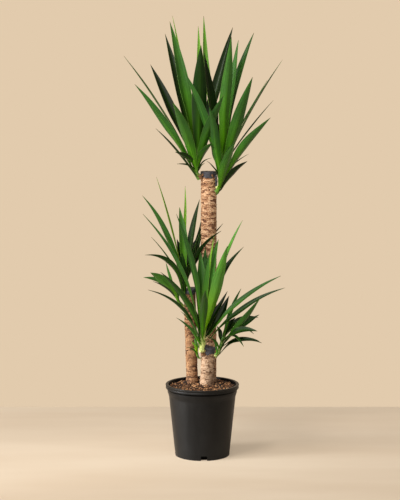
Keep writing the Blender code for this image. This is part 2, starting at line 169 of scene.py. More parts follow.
# tone of each leaf that has a CAD node, in hundredths: 0 dark, partly old leaves and partly
# painted shade on leaves deep in the rosette and leaves seen from below; 100 young and
# yellow-green, partly painted light shining through them
LEAF_TONES_AND_PAINTED_LIGHT = {
    "tall_left": (62, 8, 28, 48, 5, 3, 52, 14, 46, 92, 22, 7),
    "tall_right": (60, 56, 38, 54, 32, 54, 48, 46, 8, 56, 90, 8),
    "medium_top": (45, 95, 24, 62, 20, 20),
    "medium_left": (62, 44),
    "short_left": (34, 84, 68, 42, 30, 20, 38, 26, 38),
    "short_right": (52, 34, 18, 14),
}

# how much wider or narrower a numbered leaf's blade is than its CAD node
LEAF_WIDTHS = {
    "tall_left": {7: 1.2, 10: 0.62, 11: 1.12},
    "tall_right": {4: 1.2, 11: 0.75, 12: 1.25},
    "medium_top": {1: 0.82, 2: 0.7, 4: 1.15, 6: 0.78},
    "medium_left": {1: 1.1},
    "short_left": {1: 0.8, 2: 1.08, 3: 1.18, 4: 0.82, 5: 0.68, 6: 0.76, 7: 0.8, 8: 0.8, 9: 0.88},
}

# how far the middle of a numbered leaf leans aside from its CAD node, in cm
LEANS = {
    "tall_left": {
        1: (-0.3, 0, 0), 2: (-0.5, 0, 0), 4: (-0.7, 0, -0.7),
        6: (-0.8, 0, -0.3), 10: (0.4, 0, 0), 12: (0.5, 0, 0),
    },
    "tall_right": {3: (-1.4, 0, 0.3), 4: (0.7, 0, 0), 6: (0.2, 0, 0), 11: (-1.5, 0.6, 0)},
    "medium_top": {6: (0, 0, 0.9)},
    "short_left": {
        2: (2.2, 0, 0), 5: (0.7, 0, 0), 6: (0, 0, 0.5),
        7: (0, 0, -0.5), 9: (-0.6, 0, -0.6),
    },
    "short_right": {1: (1.3, 0, -0.5)},
}

# leaves too small for CAD nodes: seat up the stem in hundredths, tip from its top in cm, width
# in mm, bow in cm, twist in degrees, tone in hundredths, whose low values stand partly for painted
# shade as above
SMALL_LEAVES = {
    "tall_left": (
        (90, -9.4, 15.2, 50.7, 13, 0.2, 0, 95), (58, -8.1, -9.8, 0.5, 24, 0.8, 30, 22),
        (46, -7.5, -4.8, -4.1, 14, 0.6, 20, 20), (58, -4.7, 1.2, 2.3, 26, 0.3, 0, 40),
        (62, 5.4, -10.8, 3.8, 32, 0.8, 0, 44), (46, 5.3, -4.8, -1.9, 10, 0.9, 0, 20),
        (40, 2.8, -2.8, -3.8, 8, 0.3, 0, 20), (95, -1.3, 5.2, 18.5, 34, 0.3, 0, 12),
        (92, 2.5, 4.2, 16.5, 32, 0.3, 0, 10), (93, -1.5, 3, 13.5, 36, 0.2, 0, 4),
        (90, 2.2, 2.6, 12, 34, 0.2, 0, 8),
    ),
    "tall_right": (
        (86, 17, 10, 27.5, 9, 0.4, 0, 50), (72, 19.3, 8, 20.1, 13, 0.6, 0, 15),
        (45, 9.8, -2, 0.5, 16, 0.8, 0, 34), (55, 4.5, -14, 5.3, 30, 0.8, 0, 48),
        (60, -4.2, -6, 4.2, 38, 0.5, 0, 38), (80, -3.6, 3, 1.6, 30, 0.4, -20, 22),
        (42, -5.7, -5, -1.9, 9, 0.9, 0, 14), (40, -4.2, -4, -3.1, 9, 0.6, 0, 14),
        (80, 10.1, 6, 15.9, 9, 0.2, 0, 30), (90, -2.5, 3.5, 14, 34, 0.2, 0, 6),
        (90, 2.5, 3, 12, 32, 0.2, 0, 8),
    ),
    "medium_top": (
        (97, 0.1, 6.5, 31.7, 12, 0.2, 0, 95), (75, -3, 5, 12, 30, 0.4, 0, 8),
        (70, 2.5, 5.5, 11, 30, 0.4, 0, 6), (50, -4.5, 3, 7.5, 26, 0.6, 0, 10),
        (40, 3, 2, 5, 24, 0.5, 0, 10), (55, -1, -4.5, 8, 26, 0.4, 0, 24),
        (35, 1.5, -4, 3.5, 22, 0.6, 0, 14), (80, 6.4, 6, 20.4, 34, -2, 0, 14),
        (60, 5.4, -2.8, 14.6, 14, 0.4, 0, 40), (70, 14.4, 9.2, 17.4, 24, 0.8, 0, 15),
        (60, -12.3, -4.8, 13.7, 16, 0.8, 0, 30), (90, 4.6, 5, 12.5, 32, 0.3, 20, 8),
        (80, 6, 4, 9, 28, 0.4, 25, 12), (85, -6, 3, 10, 26, 0.4, -25, 16),
    ),
    "medium_left": (
        (90, -3.4, -2, 11.4, 22, -0.3, 0, 58), (60, -8.2, -4, 4.5, 24, 0.8, 0, 15),
        (50, -0.1, -4, 3, 14, 0.3, 0, 40),
    ),
    "short_left": (
        (97, 4.3, 1.9, 34.7, 24, 0.3, 0, 95), (55, -8, -3.1, 7, 22, 0.9, 0, 35),
        (45, -9.6, -8.1, 5.5, 24, 1, 0, 40), (90, 14.8, 3.9, 40, 48, 1.4, 0, 78),
        (80, 15.4, 9.9, 29.4, 46, 3.4, 0, 22), (92, -0.9, 4, 29, 42, 0.3, 0, 60),
        (91, 1.1, 5.5, 29.8, 40, 0.3, 0, 44), (89, 2.3, 2.5, 26.6, 42, -0.3, 0, 40),
        (90, 2.6, 5, 27.6, 46, 0.3, 0, 72), (90, -2.5, 4, 16, 30, 0.3, 0, 12),
        (85, 3, 4.5, 14, 30, 0.3, 0, 10), (60, -4.5, 3, 10, 26, 0.5, 0, 14),
        (75, 9.3, 3.5, 13.6, 20, 0.3, 42, 8), (65, 9.9, 4.5, 11.7, 34, -0.8, 42, 6),
        (70, 7, 6, 9, 30, 0.8, 40, 4),
    ),
    "short_right": (
        (80, 13.7, -0.6, 8.2, 26, 0.4, 55, 26), (90, 13.6, 4.4, 6.3, 24, 2.9, 40, 14),
        (75, 7.7, -10.6, -2, 20, 3, 0, 30), (95, 11.7, -3, 1.3, 24, 3, 15, 10),
        (85, 5, 3, 6.5, 24, 0.8, 35, 8), (50, 13.5, -1, -1.5, 18, 2.2, 0, 20),
        (80, -1.8, 3.4, 3.2, 18, 0.3, 0, 10), (50, -5.3, -4.6, 0.6, 14, 0.6, 0, 30),
        (30, -3.8, -1.6, -0.3, 12, 0.4, 0, 40),
    ),
    "short_low": (
        (90, -0.9, -1.6, 4.5, 14, 0.2, 0, 70), (60, -3.7, -3.6, 1.5, 14, 0.5, 0, 40),
        (80, -2, -2.6, 3.5, 12, 0.3, 0, 95),
    ),
}

# ---- the studio
FLOOR_MIDDLE = (0, -1.61, 0)
FLOOR_SIZE = (9, 4.78, 1)
CAMERA_PLACE = (-0.0086, -5, 1.336)
CAMERA_TILT = radians(90 - 6.44)
SENSOR = 36
LENS = 97.992

# each lamp's place, what it aims at, its size, power, colour and beam in degrees
LAMPS = {
    "tall_softbox": ((-3, -1.1, 1.35), (0, 0, 0.7), (2, 2.6), 84, (1, 0.98, 0.96), 180),
    "high_softbox": ((-1.6, -2.1, 3.8), (0, 0, 0.4), (1.2, 1.2), 102, (1, 0.97, 0.93), 180),
    "front_softbox": ((-0.5, -4.7, 2.3), (0, 0, 0.7), (2.6, 2.2), 86, (1, 0.98, 0.96), 180),
    "low_softbox": ((-1.7, -0.5, 0.3), (0, 0, 0.03), (0.7, 0.5), 2, (1, 1, 1), 26),
}


# ---- working by hand
def leave():
    """Goes back from edit mode to object mode."""
    bpy.ops.object.mode_set(mode="OBJECT")


def deselect():
    if bpy.context.mode != "OBJECT":
        leave()
    bpy.ops.object.select_all(action="DESELECT")


def pick(obj):
    """Selects one object alone and makes it the active one."""
    deselect()
    obj.select_set(True)
    bpy.context.view_layer.objects.active = obj


def edit(obj, action="SELECT", kind="VERT"):
    """Opens a piece in edit mode, with all of it selected or none."""
    pick(obj)
    bpy.ops.object.mode_set(mode="EDIT")
    bpy.ops.mesh.select_mode(type=kind)
    bpy.ops.mesh.select_all(action=action)


def choose(obj, wanted, parts="vertices"):
    """Opens a piece in edit mode with only the wanted points, or edges, selected."""
    edit(obj, "DESELECT", "VERT" if parts == "vertices" else "EDGE")
    leave()
    for part in getattr(obj.data, parts):
        part.select = bool(wanted(part))
    bpy.ops.object.mode_set(mode="EDIT")


def added(name, scale=(1, 1, 1)):
    """Names and stretches the primitive that was just added."""
    obj = bpy.context.object
    obj.name = name
    obj.data.name = name
    obj.scale = scale
    return obj


def settle(obj):
    """Moves an object's place, turn and size into its mesh."""
    pick(obj)
    bpy.ops.object.transform_apply(location=True, rotation=True, scale=True)
    return obj


def apply_all(obj):
    pick(obj)
    for modifier in list(obj.modifiers):
        bpy.ops.object.modifier_apply(modifier=modifier.name)


def copy_of(master, name):
    """A copy of a piece with a mesh of its own."""
    obj = bpy.data.objects.new(name, master.data.copy())
    obj.data.name = name
    bpy.context.scene.collection.objects.link(obj)
    return obj


def discard(obj):
    mesh = obj.data
    bpy.data.objects.remove(obj)
    bpy.data.meshes.remove(mesh)


def smooth(obj, degrees=180):
    pick(obj)
    if degrees >= 180:
        bpy.ops.object.shade_smooth()
    else:
        bpy.ops.object.shade_smooth_by_angle(angle=radians(degrees))
    return obj


def turned(name, profile, steps):
    """A closed shape spun about Z from (radius, height) points that run down its outside."""
    deselect()
    bpy.ops.mesh.primitive_plane_add(size=MM, location=(0, 0, 0))
    obj = added(name)
    edit(obj)
    bpy.ops.mesh.merge(type="CENTER")
    bpy.ops.transform.translate(value=(profile[0][0], 0, profile[0][1]))
    for above, below in zip(profile, profile[1:]):
        step = (below[0] - above[0], 0, below[1] - above[1])
        bpy.ops.mesh.extrude_vertices_move(TRANSFORM_OT_translate={"value": step})
    bpy.ops.mesh.select_all(action="SELECT")
    bpy.ops.mesh.spin(steps=steps, angle=TURN, center=(0, 0, 0), axis=(0, 0, 1))
    bpy.ops.mesh.select_all(action="SELECT")
    bpy.ops.mesh.remove_doubles(threshold=0.01 * MM)
    bpy.ops.mesh.normals_make_consistent(inside=False)
    leave()
    return obj


def finished(obj, material, nodes=()):
    """Gives a piece its material and its place in the object."""
    obj.data.materials.clear()
    obj.data.materials.append(material)
    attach(obj, "root")
    if nodes:
        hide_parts(*nodes)
    return obj


def points_of(obj):
    found = np.empty(len(obj.data.vertices) * 3, np.float32)
    obj.data.vertices.foreach_get("co", found)
    return found.reshape(-1, 3).astype(float)


def place_points(obj, points):
    obj.data.vertices.foreach_set("co", np.asarray(points, np.float32).ravel())
    obj.data.update()


def give_value(obj, name, values):
    """A value on a whole mesh, or on each of its points, for its material to read."""
    attribute = obj.data.attributes.new(name, "FLOAT", "POINT")
    attribute.data.foreach_set("value", np.full(len(obj.data.vertices), values, np.float32))


def lumps(x, y, z, across=1, up=None, seed=0):
    """Smooth noise at a place, with lumps so wide across and so high up."""
    return noise.noise(Vector((x / across, y / across, z / (up or across) + seed)))


# ---- materials
def srgb(colour):
    """A colour from its screen values, 0 to 255."""
    found = []
    for value in colour:
        share = value / 255
        found.append(share / 12.92 if share <= 0.04045 else ((share + 0.055) / 1.055) ** 2.4)
    return (*found, 1)


class Paint:
    """The node tree of a material or the world, built node by node."""

    def __init__(self, name, kind="materials"):
        self.owner = getattr(bpy.data, kind).new(name)
        self.owner.use_nodes = True
        self.tree = self.owner.node_tree
        self.shader = self.tree.nodes.get("Principled BSDF")

    def node(self, kind, settings=None, **inputs):
        made = self.tree.nodes.new("ShaderNode" + kind)
        for key, value in (settings or {}).items():
            setattr(made, key, value)
        for key, value in inputs.items():
            self.feed(made, key.replace("_", " "), value)
        return made

    def feed(self, node, key, value):
        socket = node.inputs[key]
        if isinstance(value, bpy.types.NodeSocket):
            self.tree.links.new(value, socket)
        else:
            socket.default_value = value

    def math(self, operation, *values):
        node = self.node("Math", {"operation": operation})
        for place, value in enumerate(values):
            self.feed(node, place, value)
        return node.outputs[0]

    def scaled(self, value, factor, shift):
        return self.math("MULTIPLY_ADD", value, factor, shift)

    def split(self, vector):
        return self.node("SeparateXYZ", Vector=vector).outputs

    def ramp(self, value, *stops):
        """A run of tones: each stop is a place and a screen colour or one grey value."""
        node = self.node("ValToRGB", Fac=value)
        band = node.color_ramp
        while len(band.elements) < len(stops):
            band.elements.new(0.5)
        for element, (place, tone) in zip(band.elements, stops):
            element.position = place
            element.color = srgb(tone) if isinstance(tone, tuple) else (tone, tone, tone, 1)
        return node.outputs["Color"]

    def blend(self, share, first, second, kind="MIX"):
        node = self.node("Mix", {"data_type": "RGBA", "blend_type": kind})
        for key, value in ((0, share), (6, first), (7, second)):
            self.feed(node, key, srgb(value) if isinstance(value, tuple) else value)
        return node.outputs[2]

    def coordinates(self, kind="Object", scale=(1, 1, 1), shift=(0, 0, 0)):
        start = self.node("TexCoord").outputs[kind]
        return self.node("Mapping", Vector=start, Scale=scale, Location=shift).outputs[0]

    def noise(self, vector, scale, detail=4, roughness=0.55):
        inputs = {"Vector": vector, "Scale": scale, "Detail": detail, "Roughness": roughness}
        return self.node("TexNoise", **inputs).outputs[0]

    def value(self, name):
        return self.node("Attribute", {"attribute_name": name}).outputs["Fac"]

    def bump(self, height, strength, distance):
        node = self.node("Bump", Height=height, Strength=strength, Distance=distance)
        self.feed(self.shader, "Normal", node.outputs[0])

    def set(self, **inputs):
        for key, value in inputs.items():
            self.feed(self.shader, key.replace("_", " "), value)
        return self.owner

    def show(self, output, share, first, second):
        """Ends the tree with a mix of two shaders."""
        mix = self.node("MixShader", Fac=share)
        self.feed(mix, 1, first)
        self.feed(mix, 2, second)
        self.feed(self.tree.nodes[output], "Surface", mix.outputs[0])
        return self.owner


def pot_plastic():
    """Scuffed, dusty black plastic, with painted shade: near black, with less reflection, in a
    band under the lip and inside the notches.
    """
    paint = Paint("nursery_pot_plastic")
    place = paint.coordinates()
    scuffs = paint.noise(paint.coordinates(scale=(1, 1, 0.25)), 30, 6, 0.6)
    dust = paint.noise(place, 9, 5, 0.6)
    plain = paint.ramp(scuffs, (0.35, (11, 12, 13)), (0.7, (17, 18, 19)))
    dusty = paint.blend(paint.ramp(dust, (0.5, 0), (0.8, 0.16)), plain, (44, 43, 42))
    x, y, z = paint.split(place)
    # painted shadow: near black in a band on the collar under the lip and inside the notches, with
    # less reflection there
    from_lip_shadow = paint.math("ABSOLUTE", paint.math("SUBTRACT", z, POT_HIGH.z - LIP_SHADOW_DEPTH))
    off_lip_shadow = paint.ramp(paint.math("MULTIPLY", from_lip_shadow, 100), (0.22, 0), (0.45, 1))
    flat = paint.node("CombineXYZ", X=x, Y=y).outputs[0]
    reach = paint.node("VectorMath", {"operation": "LENGTH"}, Vector=flat).outputs["Value"]
    outside = paint.math("GREATER_THAN", reach, BASE_RADIUS - 1.2 * MM)
    above = paint.math("GREATER_THAN", z, NOTCH_HEIGHT + MM)
    clear_of_painted_shade = paint.math("MULTIPLY", off_lip_shadow, paint.math("MAXIMUM", outside, above))
    paint.bump(paint.noise(place, 900, 3), 0.18, 0.15 * MM)
    # the near-black (3, 3, 3) is the painted shade's colour
    return paint.set(
        Base_Color=paint.blend(clear_of_painted_shade, (3, 3, 3), dusty),
        Roughness=paint.ramp(scuffs, (0.3, 0.36), (0.75, 0.45)),
        Specular_IOR_Level=paint.scaled(clear_of_painted_shade, 0.17, 0.04),
    )


def bark(name, crack, low, mid, high):
    """Flaky bark, whose relief value is 0 in a crack and 1 on a flake's edge.
    Its colour follows the relief: dark in the cracks, partly the bark's own colour and partly
    painted shade, and light on the raised flake edges, partly a painted highlight.
    """
    paint = Paint(name)
    fibres = paint.noise(paint.coordinates(scale=(1, 1, 3.2)), 190, 6, 0.7)
    patches = paint.noise(paint.coordinates(scale=(1, 1, 1.6)), 38, 4, 0.6)
    flakes = paint.scaled(paint.value("tone"), 0.16, -0.1)
    raised = paint.scaled(paint.value("relief"), 0.62, flakes)
    tone = paint.scaled(fibres, 0.55, raised)
    colour = paint.ramp(tone, (0.16, crack), (0.29, low), (0.44, mid), (0.72, high))
    stained = paint.ramp(patches, (0.4, 0), (0.66, 0.55))
    colour = paint.blend(0.45, colour, paint.blend(stained, colour, low, "MULTIPLY"))
    paint.bump(fibres, 0.6, 0.9 * MM)
    return paint.set(Base_Color=colour, Roughness=0.88)


def sealing_wax():
    paint = Paint("sealing_wax")
    place = paint.coordinates()
    mottle = paint.noise(place, 70, 5, 0.6)
    colour = paint.ramp(mottle, (0.35, (38, 38, 44)), (0.55, (58, 59, 68)), (0.75, (84, 84, 92)))
    paint.bump(paint.noise(place, 220, 4), 0.5, 0.6 * MM)
    return paint.set(Base_Color=colour, Roughness=0.62)


def soil_earth():
    paint = Paint("potting_earth")
    crumbs = paint.noise(paint.coordinates(), 160, 6, 0.7)
    colour = paint.ramp(crumbs, (0.35, (20, 12, 7)), (0.55, (50, 31, 18)), (0.75, (88, 57, 34)))
    paint.bump(crumbs, 0.9, 2 * MM)
    return paint.set(Base_Color=colour, Roughness=0.95)


def bark_chips():
    paint = Paint("bark_chips")
    grain = paint.noise(paint.coordinates(scale=(1, 1, 1.8)), 150, 5, 0.65)
    own = paint.math("MULTIPLY", paint.value("tone"), 0.7)
    colour = paint.ramp(
        paint.scaled(grain, 0.5, own),
        (0.26, (12, 6, 3)),
        (0.46, (48, 27, 13)),
        (0.64, (104, 66, 36)),
        (0.86, (176, 130, 88)),
    )
    paint.bump(grain, 0.6, MM)
    return paint.set(Base_Color=colour, Roughness=0.9)


def green_stem():
    """Stem wrapped in old leaf feet: pale at its foot, green above."""
    paint = Paint("green_stem")
    streaks = paint.noise(paint.coordinates(scale=(1, 1, 2.5)), 120, 4)
    colour = paint.ramp(
        paint.value("rise"),
        (0, (170, 150, 90)),
        (0.14, (206, 216, 138)),
        (0.45, (150, 186, 60)),
        (0.75, (64, 112, 28)),
    )
    shade = paint.ramp(streaks, (0.3, 0.72), (0.7, 1))
    paint.bump(streaks, 0.4, 0.6 * MM)
    return paint.set(Base_Color=paint.blend(1, colour, shade, "MULTIPLY"), Roughness=0.55)


def leaf_skin():
    """Leaf, dark at tone 0, partly for age and partly as painted shade, and young at 1, partly
    with painted light shining through; its map runs along and across it.
    """
    paint = Paint("yucca_leaf")
    along, across, _ = paint.split(paint.node("TexCoord").outputs["UV"])
    tone = paint.value("tone")
    off_middle = paint.math("ABSOLUTE", paint.math("SUBTRACT", across, 0.5))
    shift = paint.node("CombineXYZ", X=paint.math("MULTIPLY", tone, 37)).outputs[0]
    veins = paint.noise(paint.coordinates("UV", (1.6, 42, 1), shift), 1, 1.5, 0.5)
    bands = paint.noise(paint.coordinates("UV", (1.6, 9, 1)), 1, 2)
    spots = paint.noise(paint.coordinates(), 16, 3)
    upper = paint.ramp(
        tone, (0, (9, 22, 6)), (0.2, (16, 40, 10)), (0.5, (46, 88, 38)), (0.85, (84, 140, 58)),
        (1, (112, 158, 16)),
    )
    lower = paint.ramp(
        tone, (0, (7, 18, 3)), (0.2, (18, 42, 4)), (0.5, (58, 114, 12)), (0.8, (110, 170, 10)),
        (1, (146, 188, 12)),
    )
    # the lower part is yellower on young leaves and a little darker on the darkest, a painted
    # shade near the rosette's heart
    colour = paint.blend(paint.ramp(along, (0.2, 0), (0.62, 1)), lower, upper)
    for pattern, start, end, most, tint, kind in (
        (veins, 0.42, 0.66, 0.45, (255, 255, 190), "SOFT_LIGHT"),
        (bands, 0.42, 0.66, 0.55, (120, 130, 110), "MULTIPLY"),
        (spots, 0.45, 0.72, 0.35, (230, 255, 170), "SOFT_LIGHT"),
    ):
        colour = paint.blend(paint.ramp(pattern, (start, 0), (end, most)), colour, tint, kind)
    # a paler band along the midrib: partly its own colour and partly painted light shining through
    # the leaf
    near_rib = paint.ramp(off_middle, (0, 1), (0.07, 0.6), (0.3, 0))
    fading = paint.ramp(along, (0.08, 0.6), (0.45, 0.22), (0.85, 0.04))
    young = paint.ramp(tone, (0.05, 0.35), (0.4, 1))
    rib = paint.math("MULTIPLY", paint.math("MULTIPLY", near_rib, fading), young)
    colour = paint.blend(rib, colour, (100, 170, 26))
    foot = paint.ramp(along, (0, 1), (0.05, 0.65), (0.12, 0))
    foot_colour = paint.blend(paint.value("paleness"), (62, 112, 26), (214, 224, 138))
    colour = paint.blend(foot, colour, foot_colour)
    edge = paint.ramp(off_middle, (0.475, 0), (0.497, 0.25))
    colour = paint.blend(edge, colour, (150, 168, 92))
    needle = paint.ramp(along, (0.984, 0), (0.996, 0.8))
    colour = paint.blend(needle, colour, (92, 62, 34))
    paint.bump(veins, 0.25, 0.3 * MM)
    rough = paint.ramp(bands, (0.35, 0.34), (0.7, 0.46))
    return paint.set(Base_Color=colour, Roughness=rough, Specular_IOR_Level=0.15)


# ---- reading the frame
def merged(node):
    """Points and edges of a CAD node, with its loose triangles joined."""
    bm = bmesh.new()
    bm.from_mesh(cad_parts[node].data)
    bmesh.ops.remove_doubles(bm, verts=bm.verts, dist=0.02 * MM)
    points = np.array([v.co for v in bm.verts], float)
    edges = np.array([[v.index for v in e.verts] for e in bm.edges], int)
    bm.free()
    return points, edges


def unit(vector):
    return vector / max(np.linalg.norm(vector), 1e-9)


def units(rows):
    return rows / np.linalg.norm(rows, axis=1)[:, None]


class Stem:
    """Middle line and radius of an upright CAD piece, by height."""

    def __init__(self, node, count=24, slimness=1):
        self.low, self.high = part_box(node)
        points, edges = merged(node)
        ends = points[edges]
        inset = 0.5 * MM
        self.heights = np.linspace(self.low.z + inset, self.high.z - inset, count)
        middles, radii = [], []
        for height in self.heights:
            below, above = ends[:, 0, 2] - height, ends[:, 1, 2] - height
            crossing = below * above < 0
            share = (below / (below - above + 1e-12))[crossing, None]
            found = ends[crossing, 0] * (1 - share) + ends[crossing, 1] * share
            middle = (found.min(0) + found.max(0)) / 2
            middles.append(middle)
            radii.append(np.median(np.linalg.norm(found - middle, axis=1)))
        self.middles, self.radii = np.array(middles), np.array(radii) * slimness

    def at(self, height):
        """The stem's middle and radius at a height."""
        z = float(np.clip(height, self.heights[0], self.heights[-1]))
        x = np.interp(z, self.heights, self.middles[:, 0])
        y = np.interp(z, self.heights, self.middles[:, 1])
        return np.array([x, y, z]), float(np.interp(z, self.heights, self.radii))


STEMS = {name: Stem("shoot_" + name, slimness=STEM_SLIMNESS) for name in SHOOTS}


def leaf_rings(node):
    """Rings of a CAD leaf from foot to tip: middle, half width and where its upper side faces."""
    points, _ = merged(node)
    spread = points - points.mean(0)
    axis = np.linalg.svd(spread, full_matrices=False)[2][0]
    order = np.argsort(spread @ axis)
    found = []
    for ring in points[order].reshape(-1, 4, 3):
        left, right = max(combinations(ring, 2), key=lambda pair: dist(*pair))
        half = dist(left, right) / 2
        middle = (left + right) / 2
        keel = sorted(ring, key=lambda point: dist(point, middle))[1]
        up = unit(middle - keel)
        found.append((keel + 0.1 * half * up, half, up))
    if found[0][1] < found[-1][1]:
        found.reverse()
    middles, halves, ups = zip(*found)
    return np.array(middles), np.array(halves), np.array(ups)


# ---- leaves
def blade_master():
    """A leaf one long and two wide, folded up from its midrib to its edges."""
    deselect()
    bpy.ops.mesh.primitive_grid_add(
        x_subdivisions=LEAF_ROWS, y_subdivisions=LEAF_COLUMNS, size=2, location=(0.5, 0, 0)
    )
    blade = settle(added("blade_master", (0.5, 1, 1)))
    for off, rise in BLADE_FOLD:
        for side in (-off, off):
            choose(blade, lambda v, at=side: abs(v.co.y - at) < 0.01)
            bpy.ops.transform.translate(value=(0, 0, rise))
    leave()
    return blade


def eased(knots, values, places):
    """A smooth curve through values given at uneven knots, read at places."""
    knots, values = np.asarray(knots, float), np.asarray(values, float)
    flat = values.ndim == 1
    values = values.reshape(len(knots), -1)
    slope = np.gradient(values, knots, axis=0)
    index = np.clip(np.searchsorted(knots, places, side="right") - 1, 0, len(knots) - 2)
    gap = (knots[index + 1] - knots[index])[:, None]
    t = ((places - knots[index])[:, None] / gap).clip(0, 1)
    a, b, m, n = values[index], values[index + 1], slope[index] * gap, slope[index + 1] * gap
    found = (2 * t**3 - 3 * t**2 + 1) * a + (t**3 - 2 * t**2 + t) * m
    found += (3 * t**2 - 2 * t**3) * b + (t**3 - t**2) * n
    return found[:, 0] if flat else found


def distances(course):
    """How far each point of a course lies from its start, along it."""
    steps = np.linalg.norm(np.diff(course, axis=0), axis=1)
    return np.concatenate([[0], np.cumsum(steps)])


def followed(knots, course, places):
    """Points at places along a smooth course, and the way it runs there."""
    ahead = eased(knots, course, np.minimum(places + MM, knots[-1]))
    behind = eased(knots, course, np.maximum(places - MM, 0))
    return eased(knots, course, places), units(ahead - behind)


def with_sheath(rings, stem, clasp):
    """Adds the leaf's foot, which clasps the stem below the blade."""
    middles, halves, ups = rings
    foot = middles[0]
    centre, radius = stem.at(foot[2])
    outward = (foot - centre) * LEVEL
    if foot[2] > stem.high.z or np.linalg.norm(outward) < 0.6 * radius:
        outward = (middles[2] - foot) * LEVEL
    outward = unit(outward)
    start, wide = [], []
    for drop, spread in clasp:
        height = max(min(foot[2], stem.high.z) - drop, stem.low.z + 6 * MM)
        centre, radius = stem.at(height)
        start.append(centre + outward * (radius + 0.3 * MM))
        wide.append(spread * radius)
    if len(start) > 1 and start[1][2] - start[0][2] < 3 * MM:
        start, wide = start[1:], wide[1:]
    halves = halves.copy()
    halves[0] = max(halves[0], 0.6 * clasp[-1][1] * radius)
    bend = [1.05] * len(start) + [0.8, 0.34] + [0.26] * (len(middles) - 2)
    return (
        np.vstack([start, middles]),
        np.concatenate([wide, halves]),
        np.vstack([[-outward] * len(start), ups]),
        np.array(bend),
    )


def lay_blade(master, name, rings, shoot, tone, seed, clasp=WIDE_CLASP):
    """Lays a copy of the master blade along a leaf's rings, and thickens it."""
    chance = random.Random(seed)
    middles, halves, ups, bend = with_sheath(rings, STEMS[shoot], clasp)
    knots = distances(middles)
    halves[-1] = TIP_HALF_WIDTH
    obj = copy_of(master, name)
    flat = points_of(obj)
    places = knots[-1] * (0.82 * flat[:, 0] + 0.18 * flat[:, 0] ** 2)
    share = places / knots[-1]
    half = eased(knots, halves, places).clip(0.3 * MM)
    up = eased(knots, ups, places)
    theta = np.interp(places, knots, bend)
    middle, along = followed(knots, middles, places)
    up -= (up * along).sum(1)[:, None] * along
    up = units(up)
    side = np.cross(up, along)
    out = flat[:, 1]
    reach = half * np.sin(out * theta) / theta
    free = np.clip((share - 0.12) / 0.25, 0, 1)
    rise = half * (1 - np.cos(out * theta)) / theta + half * flat[:, 2] * (0.15 + 0.85 * free)
    wave = np.sin(TURN * (chance.uniform(0.9, 1.8) * share + chance.random()) + out * 0.6)
    rise += free * 0.07 * half * out**2 * wave * chance.uniform(0.3, 1)
    sway = np.sin(pi * share) * np.sin(TURN * (share * 1.2 + chance.random()))
    reach += free * sway * chance.uniform(0.5, 2.5) * MM
    place_points(obj, middle + side * reach[:, None] + up * rise[:, None])
    body = obj.vertex_groups.new(name="body")
    for vertex, at in zip(obj.data.vertices, share):
        body.add([vertex.index], float(np.clip(1 - at / 0.16, 0, 1)), "REPLACE")
    shell = obj.modifiers.new("Thickness", "SOLIDIFY")
    shell.thickness = LEAF_THICKNESS
    shell.offset = 0
    shell.vertex_group = "body"
    shell.thickness_vertex_group = 0.36
    apply_all(obj)
    obj.vertex_groups.clear()
    give_value(obj, "tone", tone / 100)
    give_value(obj, "paleness", PALENESS.get(shoot, 0.1))
    return smooth(obj, 50)


def sprout_rings(stem, seat, x, y, z, width, bow, twist):
    """Rings of a leaf that has no CAD node, from its row in the table."""
    height = stem.low.z + seat / 100 * (stem.high.z - stem.low.z)
    centre, radius = stem.at(height)
    tip = stem.at(stem.high.z)[0] + np.array((x, y, z)) * CM
    foot = centre + unit((tip - centre) * LEVEL) * (radius + MM)
    chord = tip - foot
    across = unit(np.cross(UP, chord))
    upward = unit(np.cross(chord, across))
    control = 0.5 * (foot + tip) + 2 * bow * CM * upward
    t = np.linspace(0, 1, 9)[:, None]
    middles = (1 - t) ** 2 * foot + 2 * t * (1 - t) * control + t**2 * tip
    t = t[:, 0]
    grow = 12 + (width - 12) * np.sin(0.5 * pi * np.minimum(t / 0.5, 1))
    fall = 1 - np.clip((t - 0.5) / 0.5, 0, 1) ** 1.7
    halves = 0.5 * MM * np.where(t < 0.5, np.minimum(grow, width), width * np.maximum(fall, 0.05))
    along = units(np.gradient(middles, axis=0))
    flat_side = units(np.cross(UP, along))
    angle = radians(twist) * np.minimum(1, 2 * t)[:, None]
    return middles, halves, np.cos(angle) * np.cross(along, flat_side) - np.sin(angle) * flat_side


def joined(objects, name):
    pick(objects[0])
    for obj in objects:
        obj.select_set(True)
    bpy.ops.object.join()
    objects[0].name = name
    objects[0].data.name = name
    return objects[0]


def make_leaves(material):
    master = blade_master()
    for seed, node in enumerate(LEAVES):
        shoot, number = node.removeprefix("leaf_").rsplit("_", 1)
        number = int(number)
        middles, halves, ups = leaf_rings(node)
        share = np.linspace(0, 1, len(middles))[:, None]
        lean = np.array(LEANS.get(shoot, {}).get(number, (0, 0, 0)))
        waist = np.interp(np.arange(len(halves)), (0, 3), (WAISTS.get(shoot, 1), 1))
        width = LEAF_WIDTHS.get(shoot, {}).get(number, 1)
        rings = middles + np.sin(pi * share) * lean * CM, halves * waist * width, ups
        tone = LEAF_TONES_AND_PAINTED_LIGHT[shoot][number - 1]
        blade = lay_blade(master, node + "_blade", rings, shoot, tone, seed)
        finished(blade, material, [node])
    for shoot, rows in SMALL_LEAVES.items():
        blades = []
        for number, (*form, tone) in enumerate(rows):
            rings = sprout_rings(STEMS[shoot], *form)
            name = f"small_leaf_{number}"
            blades.append(lay_blade(master, name, rings, shoot, tone, 100 + number, NARROW_CLASP))
        finished(joined(blades, "small_leaves_" + shoot), material)
    discard(master)


